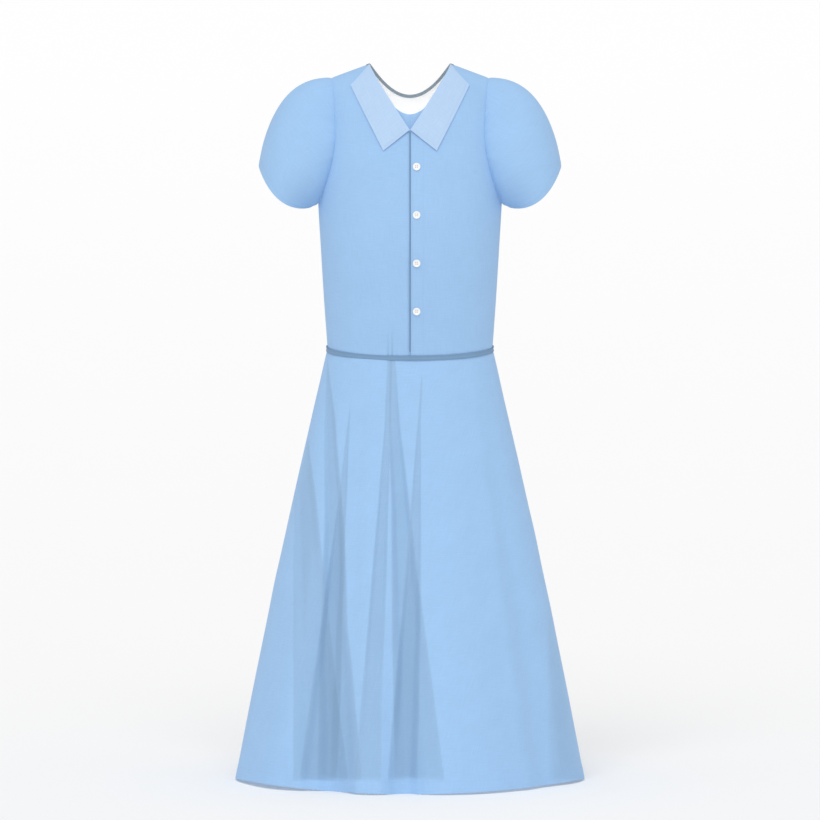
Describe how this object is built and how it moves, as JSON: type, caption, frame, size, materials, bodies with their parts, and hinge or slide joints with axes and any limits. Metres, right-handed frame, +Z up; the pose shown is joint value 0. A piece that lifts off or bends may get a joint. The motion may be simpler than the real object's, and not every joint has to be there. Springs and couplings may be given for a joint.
{
  "type": "shirt dress",
  "caption": "Midi length shirt dress in worn form: fitted bodice with buttoned front and flat collar leaves, short puffed sleeves, slate waist band and a flared skirt in soft folds.",
  "frame": {"origin": "midway between the neck ends of the two shoulder seams, where the garment hangs from the wearer's shoulders", "axes": "+Z up along the length of the dress, the front faces -Y, the wearer's left is +X"},
  "size_m": [0.523, 0.4263, 1.0823],
  "materials": {
    "cotton_blue": "matt light blue cotton, plain weave",
    "collar_pale_blue": "matt paler blue cotton, two plies, plain weave",
    "trim_slate": "matt slate blue cotton trim",
    "binding_slate": "matt grey slate bias binding",
    "button_white": "white, soft gloss"
  },
  "bodies": {
    "root": {"bodice_front_left": "cotton_blue", "bodice_front_right": "cotton_blue", "bodice_back": "cotton_blue", "sleeve_left": "cotton_blue", "sleeve_right": "cotton_blue", "collar_left": "collar_pale_blue", "collar_right": "collar_pale_blue", "neck_binding": "binding_slate", "front_edge_piping": "trim_slate", "waist_band": "trim_slate", "skirt_front": "cotton_blue", "skirt_back": "cotton_blue", "button_1": "button_white", "button_2": "button_white", "button_3": "button_white", "button_4": "button_white"}
  },
  "joints": []
}
